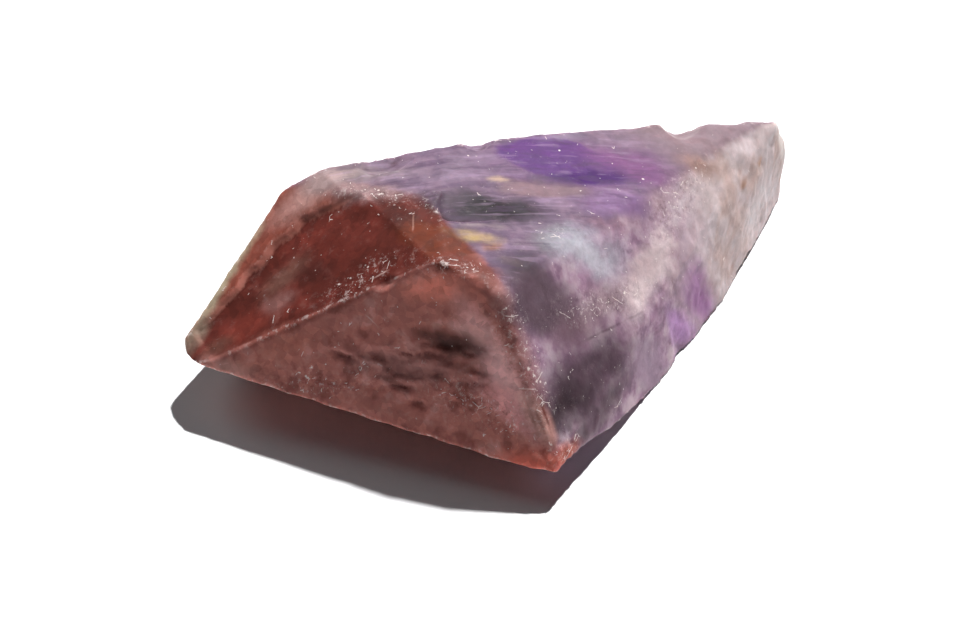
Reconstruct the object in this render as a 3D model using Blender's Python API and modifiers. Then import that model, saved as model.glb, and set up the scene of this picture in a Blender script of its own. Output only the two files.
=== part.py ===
# Crystal point: one piece of quartz with a red cap and a violet body, broken off at its tail.
# It is cut from a block by flat faces, hollowed where chips came away, and roughened as broken quartz is.
# Sizes are in millimetres and the finished piece is brought to metres. X runs from the tip to the
# tail, Y away from the front, Z up. While it is cut, the tip stands over X = 0, Y = 0.

import math

import bmesh
import bpy
from mathutils import Matrix, Vector, noise
from mathutils.geometry import intersect_line_plane

MM = 0.001

# Driving dimensions
BODY_HEIGHT = 20.8
TIP_LIFT = 5.1
CAP_LENGTH = 23.9
FRONT_REACH = 32.3
FRONT_LIFT = 3.3
BACK_REACH = 17.0
TAIL_TOP = 14.1
TAIL_REACH = 75.1
SEAT_RADIUS = 8.0

# The surface is carved on a fine grid and then simplified to this many triangles
GRID = 0.42
TRIANGLES = 8800
SMOOTH_PASSES = 2
HOLLOW_FACETS = 2

# The underside is flat up to this height
GROUND = 0.03

# Width and depth of the broken scallops and of the fine grain
SCALLOP_WIDTH = 7.0
SCALLOP_DEPTH = 0.6
GRAIN_WIDTH = 2.4
GRAIN_DEPTH = 0.16

# Corners of the crystal
CORNERS = {
    "tip": (-0.5, -0.2, TIP_LIFT),
    "tip top": (1.1, 2.4, TIP_LIFT + 1.4),
    "tip heel": (0.2, 1.3, TIP_LIFT - 2.5),
    "ridge start": (0.3, -1.7, TIP_LIFT + 0.8),
    "left shoulder": (15.0, 6.8, 17.0),
    "back shoulder": (18.7, 4.8, 19.5),
    "ridge bend": (19.8, -15.5, 20.4),
    "ridge end": (CAP_LENGTH, -20.8, BODY_HEIGHT - 0.5),
    "ledge left": (25.2, -11.6, BODY_HEIGHT),
    "ledge right": (35.0, -15.0, 19.2),
    "cap top": (25.7, -6.1, 20.6),
    "front shoulder": (23.7, -FRONT_REACH, FRONT_LIFT),
    "front foot": (41.1, -23.1, 0),
    "side foot": (52.1, -16.7, 0),
    "tail rim": (58.6, -12.5, 0),
    "tail foot": (69.8, -4.2, 0),
    "tail heel": (74.4, -0.5, 3.0),
    "front crease": (41.5, -20.2, 8.4),
    "top middle": (31.7, 1.4, 19.7),
    "top far": (44.7, 0.1, 17.9),
    "tail ridge": (52.0, -9.5, 15.4),
    "tail top": (63.5, -2.2, TAIL_TOP),
    "tail shoulder": (70.9, -2.6, 12.1),
    "tail end": (TAIL_REACH + 0.3, -0.8, 5.0),
    "tail back": (74.0, 6.0, 0),
    "left foot": (10.0, 8.8, 0),
    "back foot": (23.0, BACK_REACH, 0),
    "far foot": (62.0, 8.5, 0),
    "seat": (25.0, -12.0, 0),
}
HEART = Vector((32, -8, 8))
SEAT = Vector((37.5, -7.7, 0))

# Each flat face runs through three corners
FACES = {
    "lower tip face": ("ridge start", "front shoulder", "ridge end"),
    "upper tip face": ("ridge start", "back shoulder", "ridge bend"),
    "blunt tip": ("tip", "tip top", "tip heel"),
    "left tip face": ("tip top", "left shoulder", "left foot"),
    "left shoulder face": ("left shoulder", "back shoulder", "back foot"),
    "cap facet": ("ridge bend", "ledge left", "cap top"),
    "smoky facet": ("ridge end", "ledge left", "ledge right"),
    "top near face": ("cap top", "back shoulder", "top middle"),
    "top face": ("ledge left", "top middle", "top far"),
    "top tail face": ("top far", "tail top", "tail ridge"),
    "front face": ("ridge end", "front crease", "tail shoulder"),
    "lower front face": ("front shoulder", "front foot", "tail shoulder"),
    "side face": ("front foot", "side foot", "tail shoulder"),
    "tail side face": ("tail shoulder", "tail rim", "tail foot"),
    "tail heel face": ("tail shoulder", "tail foot", "tail heel"),
    "tail end face": ("tail shoulder", "tail end", "tail back"),
    "tail tip face": ("tail end", "tail heel", "tail back"),
    "back face": ("back shoulder", "back foot", "top far"),
    "back tail face": ("top far", "tail top", "far foot"),
    "back end face": ("tail top", "tail shoulder", "far foot"),
    "tip underside": ("ridge start", "front shoulder", "seat"),
    "front underside": ("front shoulder", "front foot", "seat"),
}

# Hollows where a chip came away: the face it lies on (or a direction), a point on it, the direction of
# its long side, its half-lengths along, across and deep, and how deep it cuts
HOLLOWS = {
    "near top hollow": ("top near face", (24.6, 2.2, 19.7), (1, 0, 0), (5.2, 3.2, 4.0), 0.9),
    "top edge dip": ((0.1, 0.5, 0.85), (34.6, 0.2, 19.2), (0.5, 0.85, -0.5), (4.0, 1.5, 2.0), 0.5),
    "tail notch": ((0.1, 0.45, 0.9), (58.6, -2.0, 15.0), (0.5, 0.85, -0.4), (7.0, 2.6, 3.3), 1.7),
    "long pit": ("lower tip face", (14.7, -17.9, 8.6), (0.55, -0.83, 0), (2.2, 0.7, 1.0), 0.5),
    "pit start": ("lower tip face", (13.2, -15.4, 9.6), (0.5, -0.85, -0.2), (1.6, 0.5, 0.9), 0.4),
    "tip crack": ("lower tip face", (11.4, -12.4, 9.9), (0.5, -0.85, -0.1), (2.4, 0.5, 0.9), 0.3),
    "low crack": ("lower tip face", (15.6, -19.7, 7.2), (0.56, -0.82, 0.05), (2.0, 0.5, 0.9), 0.35),
    "ridge chip": ((-0.7, -0.3, 0.65), (16.0, -12.9, 17.4), (0.6, -0.4, 0.6), (1.5, 0.8, 1.1), 0.5),
    "ridge end chip": ((-0.4, -0.3, 0.85), (21.9, -18.4, 20.3), (0.6, -0.7, 0.1), (1.6, 0.9, 1.0), 0.5),
    "side scallop": ("lower front face", (46.6, -20.2, 1.4), (0.1, 0.2, 0.9), (6.0, 4.0, 3.6), 1.4),
    "violet hollow": ("side face", (52.2, -15.8, 3.4), (0.2, 0.2, 0.9), (3.2, 2.4, 4.0), 0.6),
    "tail end hollow": ("tail side face", (69.6, -4.4, 5.0), (0.2, 0.2, 0.9), (4.6, 2.6, 7.0), 0.4),
    "back scoop": ("back face", (36.0, 7.4, 10.0), (1, -0.2, -0.2), (9.0, 4.4, 5.0), 1.6),
    "back chip": ("back tail face", (56.0, 6.4, 5.4), (1, -0.3, 0.2), (6.0, 3.2, 4.0), 1.2),
    "back low chip": ("back face", (26.5, 15.0, 2.0), (1, -0.2, 0), (5.0, 3.0, 3.4), 0.9),
    "left chip": ("left tip face", (9.0, 6.0, 7.0), (0.6, 0.6, 0.5), (5.0, 2.6, 4.0), 1.1),
    "under scoop": ("tip underside", (15.0, -9.0, 2.5), (0.6, -0.7, 0.1), (8.0, 5.0, 7.0), 1.0),
}

# Where a layer broke away: its outline seen from above, three points of the floor it left, and the
# direction of its sides. The ledge is the layer's edge on the upper tip face.
BREAKS = {
    "ledge": (
        (
            (2.2, 1.9),
            (4.4, 1.5),
            (5.6, 1.7),
            (6.6, 1.5),
            (7.3, 1.4),
            (8.1, 2.0),
            (8.9, 2.1),
            (9.7, 1.6),
            (10.7, 1.7),
            (11.8, 2.2),
            (13.1, 1.6),
            (14.1, 1.3),
            (14.8, 1.7),
            (15.7, 1.0),
            (16.7, 0.4),
            (17.5, -0.4),
            (18.8, -1.0),
            (20.4, -1.8),
            (23.4, -3.4),
            (27.0, -8.0),
            (22.0, -22.0),
            (1.0, -5.0),
        ),
        ((3.5, 0, 7.9), (10.9, 2.6, 13.1), (19.8, -15.5, 20.4)),
        (-1.6, 4.6, 3.1),
    ),
    "recess": (
        (
            (12.5, -14.0),
            (13.3, -14.3),
            (15.4, -16.0),
            (17.3, -17.6),
            (19.1, -19.1),
            (19.8, -20.1),
            (20.5, -21.1),
            (21.1, -22.1),
            (21.9, -23.0),
            (23.2, -24.3),
            (23.1, -24.9),
            (22.3, -24.8),
            (21.4, -24.3),
            (19.8, -22.8),
            (17.5, -20.9),
            (15.6, -19.4),
            (14.0, -17.3),
            (13.3, -15.6),
        ),
        ((19.6, -18.7, 14.0), (23.5, -24.6, 12.7), (14.1, -17.3, 7.7)),
        (-2.2, -1.6, 1.3),
    ),
    "scoop": (
        (
            (24.6, -7.8),
            (26.4, -6.2),
            (28.8, -5.9),
            (31.0, -6.1),
            (33.7, -7.5),
            (35.3, -9.6),
            (35.7, -11.8),
            (34.8, -13.6),
            (33.2, -14.3),
            (31.4, -14.2),
            (29.8, -13.6),
            (28.0, -12.9),
            (26.2, -12.2),
            (24.9, -11.5),
            (24.3, -10.0),
        ),
        ((28.8, -5.9, 20.3), (35.3, -9.6, 19.3), (28.0, -12.9, 19.2)),
        (-0.3, -0.9, 3.0),
    ),
}

# Edges worn round: from a point to a point, full to this distance and none from this on, passes
ROUNDINGS = {
    "body edge": ((27.5, -18.6, 20.0), (66.0, -4.0, 13.0), 2.5, 6.5, 72),
    "seam": ((25.4, -21.6, 18.8), (24.6, -30.6, 6.4), 1.2, 3.4, 29),
    "front corner": ((24.4, -31.6, 4.4), (30.0, -29.0, 2.4), 1.2, 3.6, 29),
    "tail end": ((71.2, -2.4, 11.8), (74.6, -0.8, 5.0), 2.0, 5.0, 19),
    "lower body edge": ((29.0, -28.0, 3.0), (41.5, -20.2, 8.4), 1.5, 4.0, 19),
    "blunt tip": ((0.4, 0.2, 5.0), (1.0, 0.8, 4.4), 1.2, 2.6, 10),
}

QUARTZ = {"colour": (0.36, 0.20, 0.27, 1.0), "roughness": 0.38, "metallic": 0.0, "ior": 1.54}


def corner(name):
    return Vector(CORNERS[name])


def normal_of(first, second, third):
    # The plane's direction, pointing away from the heart of the crystal
    direction = (second - first).cross(third - first).normalized()
    return -direction if direction.dot(HEART - first) > 0 else direction


def block():
    # A plain block that holds every corner and stands on Z = 0
    size = Vector((TAIL_REACH + 4, FRONT_REACH + BACK_REACH + 8, BODY_HEIGHT + 1))
    middle = Vector((TAIL_REACH / 2, (BACK_REACH - FRONT_REACH) / 2, size.z / 2))
    place = Matrix.Translation(middle) @ Matrix.Diagonal(size).to_4x4()
    mesh = bmesh.new()
    bmesh.ops.create_cube(mesh, size=1.0, matrix=place)
    return mesh


def slice_off(mesh, point, direction):
    # Takes away what lies past a plane and closes the cut with one face
    parts = mesh.verts[:] + mesh.edges[:] + mesh.faces[:]
    bmesh.ops.bisect_plane(
        mesh, geom=parts, dist=0.001, plane_co=point, plane_no=direction, clear_outer=True
    )
    rim = [edge for edge in mesh.edges if edge.is_boundary]
    if rim:
        bmesh.ops.contextual_create(mesh, geom=rim)


def faceted_block():
    mesh = block()
    for names in FACES.values():
        points = [corner(name) for name in names]
        slice_off(mesh, points[0], normal_of(*points))
    bmesh.ops.dissolve_degenerate(mesh, dist=0.05, edges=mesh.edges[:])
    bmesh.ops.recalc_face_normals(mesh, faces=mesh.faces[:])
    return mesh


def add_object(name, mesh):
    data = bpy.data.meshes.new(name)
    mesh.to_mesh(data)
    mesh.free()
    made = bpy.data.objects.new(name, data)
    bpy.context.scene.collection.objects.link(made)
    return made


def evaluated(shape):
    # The object's mesh as its modifiers leave it
    result = shape.evaluated_get(bpy.context.evaluated_depsgraph_get())
    mesh = bmesh.new()
    mesh.from_mesh(result.to_mesh())
    result.to_mesh_clear()
    return mesh


def facing(side):
    # A direction given as it is, or by the name of the face it stands on
    if side in FACES:
        return normal_of(*[corner(name) for name in FACES[side]])
    return Vector(side).normalized()


def as_cutter(name, mesh):
    cutter = add_object(name, mesh)
    cutter.hide_render = True
    cutter.display_type = "WIRE"
    return cutter


def hollow_cutter(name, side, point, along, half_lengths, depth):
    # A roughly round cutter pressed flat along the face, its lowest point at the depth
    out = facing(side)
    across = out.cross(Vector(along)).normalized()
    turn = Matrix((across.cross(out), across, out)).transposed().to_4x4()
    centre = Vector(point) + out * (half_lengths[2] - depth)
    place = Matrix.Translation(centre) @ turn @ Matrix.Diagonal(half_lengths).to_4x4()
    mesh = bmesh.new()
    bmesh.ops.create_icosphere(mesh, subdivisions=HOLLOW_FACETS, radius=1.0, matrix=place)
    return as_cutter(name, mesh)


def break_cutter(name, outline, floor, slope):
    # The break's outline raised onto its floor, and from there up along the slope of its sides
    on_floor = [Vector(point) for point in floor]
    mesh = bmesh.new()
    rim = []
    for x, y in outline:
        raised = intersect_line_plane(Vector((x, y, 0)), Vector((x, y, 1)), on_floor[0], normal_of(*on_floor))
        rim.append(mesh.verts.new(raised))
    drawn = bmesh.ops.extrude_face_region(mesh, geom=[mesh.faces.new(rim)])["geom"]
    top = [part for part in drawn if isinstance(part, bmesh.types.BMVert)]
    bmesh.ops.translate(mesh, verts=top, vec=slope)
    bmesh.ops.recalc_face_normals(mesh, faces=mesh.faces[:])
    return as_cutter(name, mesh)


def carved(rough):
    # Every hollow is taken out of the faceted block, whose faces are then divided into small ones
    cutters = [break_cutter(name, *shape) for name, shape in BREAKS.items()]
    cutters += [hollow_cutter(name, *shape) for name, shape in HOLLOWS.items()]
    for cutter in cutters:
        cut = rough.modifiers.new(cutter.name, "BOOLEAN")
        cut.operation = "DIFFERENCE"
        cut.solver = "EXACT"
        cut.object = cutter
    grid = rough.modifiers.new("fine grid", "REMESH")
    grid.mode = "VOXEL"
    grid.voxel_size = GRID
    mesh = evaluated(rough)
    for spare in [rough] + cutters:
        bpy.data.objects.remove(spare)
    return mesh


def near_line(place, start, end, inner, outer):
    # 1 within the inner distance of a line between two points, 0 past the outer one, smooth between
    start, end = Vector(start), Vector(end)
    share = min(max((place - start).dot(end - start) / (end - start).length_squared, 0), 1)
    ratio = min(max((outer - (place - start.lerp(end, share)).length) / (outer - inner), 0), 1)
    return ratio * ratio * (3 - 2 * ratio)


def worn(mesh):
    # Each rounded edge is smoothed along its own line
    shape = add_object("worn", mesh)
    for name, (start, end, inner, outer, passes) in ROUNDINGS.items():
        group = shape.vertex_groups.new(name=name)
        for vert in shape.data.vertices:
            group.add([vert.index], near_line(vert.co, start, end, inner, outer), "REPLACE")
        rounding = shape.modifiers.new(name, "SMOOTH")
        rounding.factor = 0.5
        rounding.iterations = passes
        rounding.vertex_group = name
    mesh = evaluated(shape)
    bpy.data.objects.remove(shape)
    return mesh


def scallop(point):
    # Hollow cells with sharp rims between them, as where quartz breaks: about 0 on average
    distances = noise.voronoi(point / SCALLOP_WIDTH)[0]
    return distances[1] - distances[0] - 0.3


def wildness(point):
    # The grown faces at the tip are smoother than the broken tail and underside
    tail = min(max((point.x - CAP_LENGTH) / (TAIL_REACH - CAP_LENGTH), 0), 1)
    under = 1 if point.z < 0.2 else 0
    return 0.3 + 0.7 * max(tail, under)


def roughen(mesh):
    for _ in range(SMOOTH_PASSES):
        bmesh.ops.smooth_vert(
            mesh, verts=mesh.verts[:], factor=0.5, use_axis_x=True, use_axis_y=True, use_axis_z=True
        )
    mesh.normal_update()
    moves = []
    for vert in mesh.verts:
        place = vert.co.copy()
        depth = wildness(place) * SCALLOP_DEPTH * scallop(place)
        depth += GRAIN_DEPTH * (0.4 + wildness(place)) * noise.fractal(place / GRAIN_WIDTH, 0.8, 2.0, 3)
        seat = min(max(((place - SEAT).length - SEAT_RADIUS) / 3, 0), 1) if place.z < 0.01 else 1
        moves.append((vert, -vert.normal * depth * seat))
    for vert, move in moves:
        vert.co += move
        vert.co.z = max(vert.co.z, 0)


def simplified(mesh):
    # Large triangles where it is flat, small ones along its ridges and ledges
    bmesh.ops.triangulate(mesh, faces=mesh.faces[:])
    ratio = TRIANGLES / len(mesh.faces)
    fine = add_object("fine", mesh)
    fewer = fine.modifiers.new("fewer faces", "DECIMATE")
    fewer.ratio = ratio
    mesh = evaluated(fine)
    bpy.data.objects.remove(fine)
    for vert in mesh.verts:
        if vert.co.z < GROUND:
            vert.co.z = 0
    return mesh


def finish_object(name, mesh):
    # Sets the middle of its base at the origin and brings it to metres
    low = Vector([min(vert.co[axis] for vert in mesh.verts) for axis in range(3)])
    high = Vector([max(vert.co[axis] for vert in mesh.verts) for axis in range(3)])
    base = Vector(((low.x + high.x) / 2, (low.y + high.y) / 2, low.z))
    bmesh.ops.translate(mesh, verts=mesh.verts[:], vec=-base)
    bmesh.ops.scale(mesh, verts=mesh.verts[:], vec=(MM, MM, MM))
    bmesh.ops.recalc_face_normals(mesh, faces=mesh.faces[:])
    made = add_object(name, mesh)
    made.data.shade_smooth()
    made.data.set_sharp_from_angle(angle=math.radians(35))
    return made


def quartz_material():
    material = bpy.data.materials.new("violet quartz")
    material.use_nodes = True
    surface = material.node_tree.nodes["Principled BSDF"]
    surface.inputs["Base Color"].default_value = QUARTZ["colour"]
    surface.inputs["Roughness"].default_value = QUARTZ["roughness"]
    surface.inputs["Metallic"].default_value = QUARTZ["metallic"]
    surface.inputs["IOR"].default_value = QUARTZ["ior"]
    return material


def main():
    for spare in list(bpy.data.objects):
        bpy.data.objects.remove(spare)
    mesh = carved(add_object("rough block", faceted_block()))
    mesh = worn(mesh)
    roughen(mesh)
    crystal = finish_object("crystal", simplified(mesh))
    crystal.data.materials.append(quartz_material())
    parts = bpy.data.collections.new("crystal point")
    bpy.context.scene.collection.children.link(parts)
    parts.objects.link(crystal)
    bpy.context.scene.collection.objects.unlink(crystal)


main()
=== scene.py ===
import math

import bpy
import numpy as np
from mathutils import Matrix, Vector, noise
from mathutils.geometry import intersect_line_plane


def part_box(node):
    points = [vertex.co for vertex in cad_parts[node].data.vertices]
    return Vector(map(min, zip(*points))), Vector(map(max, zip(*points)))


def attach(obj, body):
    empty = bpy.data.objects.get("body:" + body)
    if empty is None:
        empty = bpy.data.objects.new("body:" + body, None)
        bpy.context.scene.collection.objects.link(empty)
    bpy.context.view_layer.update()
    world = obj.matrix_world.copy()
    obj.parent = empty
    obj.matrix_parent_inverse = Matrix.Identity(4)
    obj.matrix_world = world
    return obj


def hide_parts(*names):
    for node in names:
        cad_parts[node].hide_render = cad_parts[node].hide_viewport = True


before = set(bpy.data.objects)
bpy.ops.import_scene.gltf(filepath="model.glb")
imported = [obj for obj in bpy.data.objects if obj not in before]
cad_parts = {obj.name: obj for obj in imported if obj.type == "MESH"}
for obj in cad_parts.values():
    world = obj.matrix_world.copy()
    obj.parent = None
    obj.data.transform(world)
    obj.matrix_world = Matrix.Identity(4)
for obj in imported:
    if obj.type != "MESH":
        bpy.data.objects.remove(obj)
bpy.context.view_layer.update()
print("frame loaded:", sorted(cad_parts))

mm = 0.001

# The crystal is cut in its own millimetres: its tip stands over X = 0, Y = 0, X runs to the tail
crystal = {
    "blockLow": (-2, -41, 0),
    "blockHigh": (77, 25, 21.8),
    "heart": (32, -8, 8),
    "corners": {
        "tip": (-0.5, -0.2, 5.1),
        "tip top": (1.1, 2.4, 6.5),
        "tip heel": (0.2, 1.3, 2.6),
        "ridge start": (0.3, -1.7, 5.9),
        "left shoulder": (15.0, 6.8, 17.0),
        "back shoulder": (18.7, 4.8, 19.5),
        "ridge bend": (19.8, -15.5, 20.4),
        "ridge end": (23.9, -20.8, 20.3),
        "ledge left": (25.2, -11.6, 20.8),
        "ledge right": (35.0, -15.0, 19.2),
        "cap top": (25.7, -6.1, 20.6),
        "front shoulder": (23.7, -32.3, 3.3),
        "front foot": (41.1, -23.1, 0),
        "side foot": (52.1, -16.7, 0),
        "tail rim": (58.6, -12.5, 0),
        "tail foot": (69.8, -4.2, 0),
        "tail heel": (74.4, -0.5, 3.0),
        "front crease": (41.5, -20.2, 8.4),
        "top middle": (31.7, 1.4, 19.7),
        "top far": (44.7, 0.1, 17.9),
        "tail ridge": (52.0, -9.5, 15.4),
        "tail top": (63.5, -2.2, 14.1),
        "tail shoulder": (70.9, -2.6, 12.1),
        "tail end": (75.4, -0.8, 5.0),
        "tail back": (74.0, 6.0, 0),
        "left foot": (10.0, 8.8, 0),
        "back foot": (23.0, 17.0, 0),
        "far foot": (62.0, 8.5, 0),
        "seat": (25.0, -12.0, 0),
    },
    "faces": {
        "lower tip face": ("ridge start", "front shoulder", "ridge end"),
        "upper tip face": ("ridge start", "back shoulder", "ridge bend"),
        "blunt tip": ("tip", "tip top", "tip heel"),
        "left tip face": ("tip top", "left shoulder", "left foot"),
        "left shoulder face": ("left shoulder", "back shoulder", "back foot"),
        "cap facet": ("ridge bend", "ledge left", "cap top"),
        "smoky facet": ("ridge end", "ledge left", "ledge right"),
        "top near face": ("cap top", "back shoulder", "top middle"),
        "top face": ("ledge left", "top middle", "top far"),
        "top tail face": ("top far", "tail top", "tail ridge"),
        "front face": ("ridge end", "front crease", "tail shoulder"),
        "lower front face": ("front shoulder", "front foot", "tail shoulder"),
        "side face": ("front foot", "side foot", "tail shoulder"),
        "tail side face": ("tail shoulder", "tail rim", "tail foot"),
        "tail heel face": ("tail shoulder", "tail foot", "tail heel"),
        "tail end face": ("tail shoulder", "tail end", "tail back"),
        "tail tip face": ("tail end", "tail heel", "tail back"),
        "back face": ("back shoulder", "back foot", "top far"),
        "back tail face": ("top far", "tail top", "far foot"),
        "back end face": ("tail top", "tail shoulder", "far foot"),
        "tip underside": ("ridge start", "front shoulder", "seat"),
        "front underside": ("front shoulder", "front foot", "seat"),
    },
    # face or direction, point, direction of the long side, half-lengths along, across and deep, depth
    "hollows": {
        "near top hollow": ("top near face", (24.6, 2.2, 19.7), (1, 0, 0), (5.2, 3.2, 4.0), 0.9),
        "top edge dip": ((0.1, 0.5, 0.85), (34.6, 0.2, 19.2), (0.5, 0.85, -0.5), (4.0, 2.6, 3.2), 0.35),
        "tail notch": ((0.1, 0.45, 0.9), (58.6, -2.0, 15.0), (0.5, 0.85, -0.4), (7.0, 2.6, 3.3), 1.7),
        "long pit": ("lower tip face", (14.7, -17.9, 8.6), (0.55, -0.83, 0), (2.2, 0.7, 1.0), 0.5),
        "pit start": ("lower tip face", (13.2, -15.4, 9.6), (0.5, -0.85, -0.2), (1.6, 0.5, 0.9), 0.4),
        "tip crack": ("lower tip face", (11.4, -12.4, 9.9), (0.5, -0.85, -0.1), (2.4, 0.5, 0.9), 0.3),
        "low crack": ("lower tip face", (15.6, -19.7, 7.2), (0.56, -0.82, 0.05), (2.0, 0.5, 0.9), 0.35),
        "ridge chip": ((-0.7, -0.3, 0.65), (16.0, -12.9, 17.4), (0.6, -0.4, 0.6), (1.5, 0.8, 1.1), 0.5),
        "ridge end chip": ((-0.4, -0.3, 0.85), (21.9, -18.4, 20.3), (0.6, -0.7, 0.1), (1.6, 0.9, 1.0), 0.5),
        "side scallop": ("lower front face", (47.2, -19.9, 1.4), (0.1, 0.2, 0.9), (6.0, 4.8, 3.8), 0.9),
        "violet hollow": ("side face", (52.2, -15.8, 3.4), (0.2, 0.2, 0.9), (3.4, 2.6, 4.4), 0.3),
        "tail end hollow": ("tail side face", (69.6, -4.4, 5.0), (0.2, 0.2, 0.9), (4.6, 2.6, 7.0), 0.4),
        "back scoop": ("back face", (36.0, 7.4, 10.0), (1, -0.2, -0.2), (13.0, 7.0, 9.0), 1.3),
        "back chip": ("back tail face", (56.0, 6.4, 5.4), (1, -0.3, 0.2), (9.0, 5.0, 7.0), 1.0),
        "back low chip": ("back face", (26.5, 15.0, 2.0), (1, -0.2, 0), (5.0, 3.0, 3.4), 0.9),
        "left chip": ("left tip face", (9.0, 6.0, 7.0), (0.6, 0.6, 0.5), (5.0, 2.6, 4.0), 1.1),
        "under scoop": ("tip underside", (15.0, -9.0, 2.5), (0.6, -0.7, 0.1), (8.0, 5.0, 7.0), 1.0),
    },
    # where a layer broke away: its outline from above, three points of the floor, the slope of its sides
    "breaks": {
        "ledge": (
            (
                (2.2, 1.9), (4.4, 1.5), (5.6, 1.7), (6.6, 1.5), (7.3, 1.4), (8.1, 2.0),
                (8.9, 2.1), (9.7, 1.6), (10.7, 1.7), (11.8, 2.2), (13.1, 1.6), (14.1, 1.3),
                (14.8, 1.7), (15.7, 1.0), (16.7, 0.4), (17.5, -0.4), (18.8, -1.0), (20.4, -1.8),
                (23.4, -3.4), (27.0, -8.0), (22.0, -22.0), (1.0, -5.0),
            ),
            ((3.5, 0, 7.9), (10.9, 2.6, 13.1), (19.8, -15.5, 20.4)),
            (-1.6, 4.6, 3.1),
        ),
        "recess": (
            (
                (12.5, -14.0), (13.3, -14.3), (15.4, -16.0), (17.3, -17.6), (19.1, -19.1), (19.8, -20.1),
                (20.5, -21.1), (21.1, -22.1), (21.9, -23.0), (23.2, -24.3), (23.1, -24.9), (22.3, -24.8),
                (21.4, -24.3), (19.8, -22.8), (17.5, -20.9), (15.6, -19.4), (14.0, -17.3), (13.3, -15.6),
            ),
            ((19.3, -18.9, 14.2), (23.2, -24.8, 12.9), (13.9, -17.5, 7.8)),
            (-2.2, -1.6, 1.3),
        ),
        "scoop": (
            (
                (24.6, -7.8), (26.4, -6.2), (28.8, -5.9), (31.0, -6.1), (33.7, -7.5), (35.3, -9.6),
                (35.7, -11.8), (34.8, -13.0), (33.2, -13.4), (31.4, -13.0), (29.8, -12.3), (28.0, -11.6),
                (26.2, -11.0), (24.9, -10.4), (24.3, -10.0),
            ),
            ((28.8, -5.9, 20.3), (35.3, -9.6, 19.3), (28.0, -11.6, 19.3)),
            (-0.3, -0.9, 3.0),
        ),
    },
    # cuts closer than this are merged, the grid that the carved block is remade on, and passes over its edges
    "mergeGap": 0.05,
    "grid": 0.29,
    "smoothing": 3,
    "smoothFactor": 0.5,
    # edges worn round: from a point to a point, full to this distance, none from this on, passes
    "roundings": {
        "tip ridge": ((0.3, -1.7, 5.9), (19.8, -15.5, 20.4), 0.5, 1.3, 4),
        "body edge": ((27.5, -18.6, 20.0), (66.0, -4.0, 13.0), 2.5, 6.5, 150),
        "seam": ((25.4, -21.6, 18.8), (24.6, -30.6, 6.4), 1.2, 3.4, 60),
        "front corner": ((24.4, -31.6, 4.4), (30.0, -29.0, 2.4), 1.2, 3.6, 60),
        "tail end": ((71.2, -2.4, 11.8), (74.6, -0.8, 5.0), 2.0, 5.0, 40),
        "lower body edge": ((29.0, -28.0, 3.0), (41.5, -20.2, 8.4), 1.5, 4.0, 40),
        "blunt tip": ((0.4, 0.2, 5.0), (1.0, 0.8, 4.4), 1.2, 2.6, 20),
    },
    # the flat seat it rests on, the band in which the relief starts round it, and what counts as the ground
    "seat": (37.5, -7.7, 0),
    "seatRadius": 8.0,
    "seatBand": 3,
    "seatHeight": 0.01,
    "ground": 0.03,
    # the hollows' cutters are ragged: size and strength of their noise
    "hollowNoise": 1.6,
    "hollowPush": 0.25,
    # the broken relief grows from the tip's share by the tail's, over this stretch and on the underside
    "brokenTip": 0.3,
    "brokenTail": 0.45,
    "brokenStart": 23.9,
    "brokenStretch": 50.8,
    "undersideHeight": 0.2,
    "grainBase": 0.4,
    # small scallops: shares everywhere, at the tail and along edges, and where an edge is worn by them
    "chipBase": 0.2,
    "chipTail": 0.2,
    "chipEdge": 0.5,
    "edgeBand": (1.4, 0.3),
    "edgeLift": 0.4,
    "edgeStart": 20,
    # lines that a kind of relief follows: from a point to a point, full to this distance, none from this on
    "zones": {
        "cracked": ((13.0, -15.0, 9.6), (20.6, -22.6, 11.6), 1.2, 3.4),
        "streaked": ((56.0, -10.0, 9.0), (74.0, -1.0, 4.0), 7.0, 12.0),
        "furrowed": ((31.0, -5.0, 19.5), (52.0, -6.0, 16.5), 5.0, 9.0),
        "crumbly": ((24.5, -31.0, 4.5), (27.5, -30.5, 4.0), 1.5, 3.5),
    },
    # texture, direction, towards, sizes along, across and deep, vertex group, depth, middle, steps
    "relief": {
        "scallops": ("VORONOI", (1, 0, 0), (0, 0, 1), (7.0, 7.0, 7.0), "broken", 0.6, 0.3, None),
        "grain": ("CLOUDS", (1, 0, 0), (0, 0, 1), (2.8, 2.8, 2.8), "grainy", 0.2, 0.5, None),
        "small scallops": (
            "VORONOI", (0.6, 0.6, 0.5), (0, 0, 1), (2.6, 2.0, 2.0), "chipped", 0.25, 0.3, None,
        ),
        "cracks": (
            "CLOUDS", (0.6, -0.79, 0.09), (-0.73, -0.54, 0.42), (3.4, 1.2, 2.0), "cracked", 0.3, 0.5,
            ((0.42, 0.1), (0.47, 0.45), (0.53, 0.45), (0.58, 0.9)),
        ),
        "tail streaks": (
            "CLOUDS", (0.66, 0.58, 0.45), (0.4, -0.8, 0.5), (7.0, 1.6, 2.4), "streaked", 0.07, 0.5, None,
        ),
        "top furrows": (
            "CLOUDS", (0.95, -0.3, -0.1), (0, 0.1, 1), (8.0, 1.4, 2.0), "furrowed", 0.12, 0.5, None,
        ),
        "crumbs": ("VORONOI", (1, 0, 0), (0, 0, 1), (1.2, 1.2, 1.2), "crumbly", 0.25, 0.3, None),
    },
    # so many of the ledge's points are its line; the rest close its outline over the face
    "ledgePoints": 17,
    # the ledge's riser: how near its line, up to where, from what height, and how far turned from its face
    "riserBand": (2.2, 1.2),
    "riserEnd": 21,
    "riserFoot": 6.5,
    "riserTurn": (0.985, 0.95),
    # the back catches about as much light as the top, so it counts as looking up by this share, and so takes
    # the top's colours with their painted shade
    "backShare": 1.15,
    # passes that smooth the surface which rims and cracks are measured from
    "rimPasses": 8,
    "leastWeight": 0.004,
}


def onlyActive(piece):
    bpy.ops.object.select_all(action="DESELECT")
    piece.select_set(True)
    bpy.context.view_layer.objects.active = piece


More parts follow.
